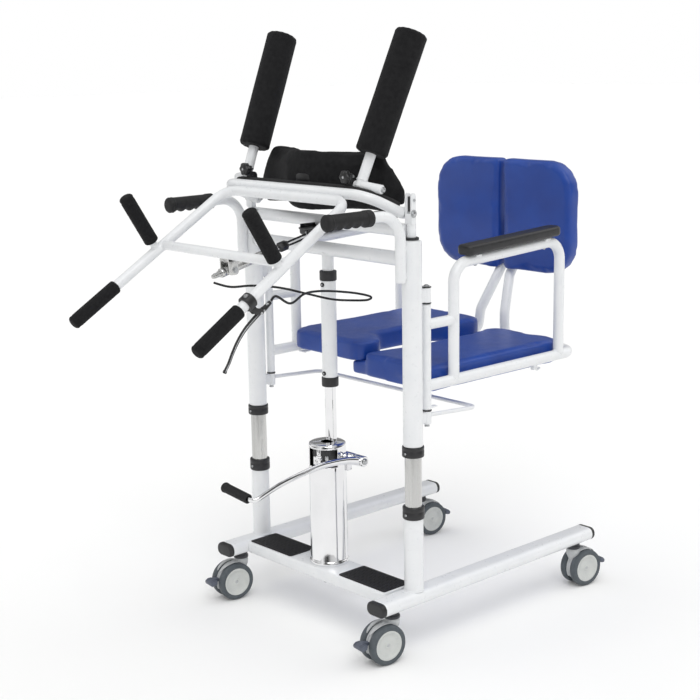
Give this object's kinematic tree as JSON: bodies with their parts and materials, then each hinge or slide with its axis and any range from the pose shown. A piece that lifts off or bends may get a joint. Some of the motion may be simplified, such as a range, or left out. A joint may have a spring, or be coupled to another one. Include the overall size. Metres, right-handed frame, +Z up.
{
  "type": "sit to stand lift",
  "caption": "Wheeled patient lift with a hydraulic column, split swing-open seat with armrests and backrest, chest pad, padded arm rests and push handles.",
  "frame": {"origin": "middle of the footprint, on the floor under the wheels", "axes": "+X across the machine towards the pump lever's side, +Y towards the seat and away from the push handles, +Z up"},
  "size_m": [0.6624, 1.3028, 1.4857],
  "materials": {
    "white_powder_coat": "glossy powder coat",
    "black_plastic": "matte moulded",
    "black_foam": "matte foam skin",
    "chrome": "polished",
    "brushed_steel": "drawn, satin",
    "blue_vinyl": "smooth vinyl leathercloth",
    "grey_tyre": "matte tread",
    "grey_pedal": "matte moulded"
  },
  "bodies": {
    "base": {"left_leg": "white_powder_coat", "left_post": "white_powder_coat", "left_guide_tube": "brushed_steel", "left_foot_pad": "black_plastic", "right_leg": "white_powder_coat", "right_post": "white_powder_coat", "right_guide_tube": "brushed_steel", "right_foot_pad": "black_plastic", "cross_beam": "white_powder_coat", "pump_cylinder": "chrome"},
    "pump_lever": {"pump_lever": "chrome", "pump_pedal": "black_plastic"},
    "mast": {"lower_crossbar": "white_powder_coat", "upper_crossbar": "white_powder_coat", "lift_column": "white_powder_coat", "piston_rod": "chrome", "seat_support_rod": "white_powder_coat", "left_mast": "white_powder_coat", "left_mast_collar": "black_plastic", "left_handle_grip": "black_plastic", "right_mast": "white_powder_coat", "right_mast_collar": "black_plastic", "right_handle_grip": "black_plastic"},
    "seat_left": {"left_seat_frame": "white_powder_coat", "left_armrest_pad": "black_plastic", "left_seat_cushion": "blue_vinyl", "left_back_cushion": "blue_vinyl"},
    "seat_right": {"right_seat_frame": "white_powder_coat", "right_armrest_pad": "black_plastic", "right_seat_cushion": "blue_vinyl", "right_back_cushion": "blue_vinyl"},
    "tilt_frame": {"tilt_frame": "white_powder_coat", "chest_pad": "black_foam", "left_long_grip": "black_foam", "right_long_grip": "black_foam", "left_short_grip": "black_foam", "right_short_grip": "black_foam", "lever_clamp": "black_plastic", "release_cable": "black_plastic"},
    "arm_left": {"left_arm_tube": "white_powder_coat", "left_arm_roller": "black_foam"},
    "knob_left": {"left_arm_knob": "black_plastic"},
    "arm_right": {"right_arm_tube": "white_powder_coat", "right_arm_roller": "black_foam"},
    "knob_right": {"right_arm_knob": "black_plastic"},
    "gas_cylinder": {"gas_spring_cylinder": "brushed_steel"},
    "gas_rod": {"gas_spring_rod": "black_plastic"},
    "release_lever": {"release_lever": "black_plastic"},
    "front_left_swivel": {"front_left_caster_hood": "white_powder_coat"},
    "front_left_wheels": {"front_left_caster_wheels": "grey_tyre"},
    "front_left_brake": {"front_left_brake_pedal": "grey_pedal"},
    "front_right_swivel": {"front_right_caster_hood": "white_powder_coat"},
    "front_right_wheels": {"front_right_caster_wheels": "grey_tyre"},
    "front_right_brake": {"front_right_brake_pedal": "grey_pedal"},
    "rear_left_swivel": {"rear_left_caster_hood": "white_powder_coat"},
    "rear_left_wheels": {"rear_left_caster_wheels": "grey_tyre"},
    "rear_left_brake": {"rear_left_brake_pedal": "grey_pedal"},
    "rear_right_swivel": {"rear_right_caster_hood": "white_powder_coat"},
    "rear_right_wheels": {"rear_right_caster_wheels": "grey_tyre"},
    "rear_right_brake": {"rear_right_brake_pedal": "grey_pedal"}
  },
  "joints": [
    {"name": "mast_lift", "type": "slide", "parent": "base", "child": "mast", "axis": [0, 0, 1], "range_m": [-0.118, 0.07]},
    {"name": "pump_lever_stroke", "type": "hinge", "parent": "base", "child": "pump_lever", "pos_m": [0.079, -0.03078, 0.43], "axis": [1, 0, 0], "range_deg": [0, 25], "stiffness_Nm_per_rad": 3, "springref_deg": -28.65},
    {"name": "seat_swing_left", "type": "hinge", "parent": "mast", "child": "seat_left", "pos_m": [-0.292, -0.01328, 0.7], "axis": [0, 0, 1], "range_deg": [0, 100]},
    {"name": "seat_swing_right", "type": "hinge", "parent": "mast", "child": "seat_right", "pos_m": [0.292, -0.01328, 0.7], "axis": [0, 0, 1], "range_deg": [-100, 0]},
    {"name": "frame_tilt", "type": "hinge", "parent": "mast", "child": "tilt_frame", "pos_m": [0, -0.06477, 1.069], "axis": [1, 0, 0], "range_deg": [-12, 12]},
    {"name": "arm_pivot_left", "type": "hinge", "parent": "tilt_frame", "child": "arm_left", "pos_m": [-0.2086, -0.14108, 1.134], "axis": [1, 0, 0], "range_deg": [0, 40]},
    {"name": "arm_knob_turn_left", "type": "hinge", "parent": "tilt_frame", "child": "knob_left", "pos_m": [-0.184, -0.15527, 1.153], "axis": [0, -1, 0], "continuous": true},
    {"name": "arm_pivot_right", "type": "hinge", "parent": "tilt_frame", "child": "arm_right", "pos_m": [0.2086, -0.14108, 1.134], "axis": [1, 0, 0], "range_deg": [0, 40]},
    {"name": "arm_knob_turn_right", "type": "hinge", "parent": "tilt_frame", "child": "knob_right", "pos_m": [0.184, -0.15527, 1.153], "axis": [0, -1, 0], "continuous": true},
    {"name": "gas_spring_foot", "type": "hinge", "parent": "tilt_frame", "child": "gas_cylinder", "pos_m": [0, -0.36078, 0.9455], "axis": [1, 0, 0], "range_deg": [-2.9, 2.9]},
    {"name": "gas_spring_stroke", "type": "slide", "parent": "gas_cylinder", "child": "gas_rod", "axis": [0, 0.9741, 0.226], "range_m": [-0.0115, 0.0115]},
    {"name": "release_squeeze", "type": "hinge", "parent": "tilt_frame", "child": "release_lever", "pos_m": [0.23492, -0.46708, 0.88641], "axis": [1, 0, 0], "range_deg": [-14, 0], "stiffness_Nm_per_rad": 0.4, "springref_deg": 20.05},
    {"name": "front_left_swivel_turn", "type": "hinge", "parent": "base", "child": "front_left_swivel", "pos_m": [-0.292, -0.13617, 0.1], "axis": [0, 0, 1], "continuous": true},
    {"name": "front_left_wheel_spin", "type": "hinge", "parent": "front_left_swivel", "child": "front_left_wheels", "pos_m": [-0.29597, -0.1644, 0.05], "axis": [0.9903, -0.1392, 0], "continuous": true},
    {"name": "front_left_brake_press", "type": "hinge", "parent": "front_left_swivel", "child": "front_left_brake", "pos_m": [-0.29986, -0.19212, 0.064], "axis": [0.9903, -0.1392, 0], "range_deg": [0, 8]},
    {"name": "front_right_swivel_turn", "type": "hinge", "parent": "base", "child": "front_right_swivel", "pos_m": [0.292, -0.13617, 0.1], "axis": [0, 0, 1], "continuous": true},
    {"name": "front_right_wheel_spin", "type": "hinge", "parent": "front_right_swivel", "child": "front_right_wheels", "pos_m": [0.28803, -0.1644, 0.05], "axis": [0.9903, -0.1392, 0], "continuous": true},
    {"name": "front_right_brake_press", "type": "hinge", "parent": "front_right_swivel", "child": "front_right_brake", "pos_m": [0.28414, -0.19212, 0.064], "axis": [0.9903, -0.1392, 0], "range_deg": [0, 8]},
    {"name": "rear_left_swivel_turn", "type": "hinge", "parent": "base", "child": "rear_left_swivel", "pos_m": [-0.292, 0.54763, 0.1], "axis": [0, 0, 1], "continuous": true},
    {"name": "rear_left_wheel_spin", "type": "hinge", "parent": "rear_left_swivel", "child": "rear_left_wheels", "pos_m": [-0.28803, 0.57585, 0.05], "axis": [0.9903, -0.1392, 0], "continuous": true},
    {"name": "rear_left_brake_press", "type": "hinge", "parent": "rear_left_swivel", "child": "rear_left_brake", "pos_m": [-0.28414, 0.60357, 0.064], "axis": [-0.9903, 0.1392, 0], "range_deg": [0, 8]},
    {"name": "rear_right_swivel_turn", "type": "hinge", "parent": "base", "child": "rear_right_swivel", "pos_m": [0.292, 0.54763, 0.1], "axis": [0, 0, 1], "continuous": true},
    {"name": "rear_right_wheel_spin", "type": "hinge", "parent": "rear_right_swivel", "child": "rear_right_wheels", "pos_m": [0.29597, 0.57585, 0.05], "axis": [0.9903, -0.1392, 0], "continuous": true},
    {"name": "rear_right_brake_press", "type": "hinge", "parent": "rear_right_swivel", "child": "rear_right_brake", "pos_m": [0.29986, 0.60357, 0.064], "axis": [-0.9903, 0.1392, 0], "range_deg": [0, 8]}
  ],
  "couplings": [
    {"joint": "gas_spring_foot", "follows": "frame_tilt", "ratio": 0.2282},
    {"joint": "gas_spring_stroke", "follows": "frame_tilt", "m_per_rad": -0.05236}
  ]
}
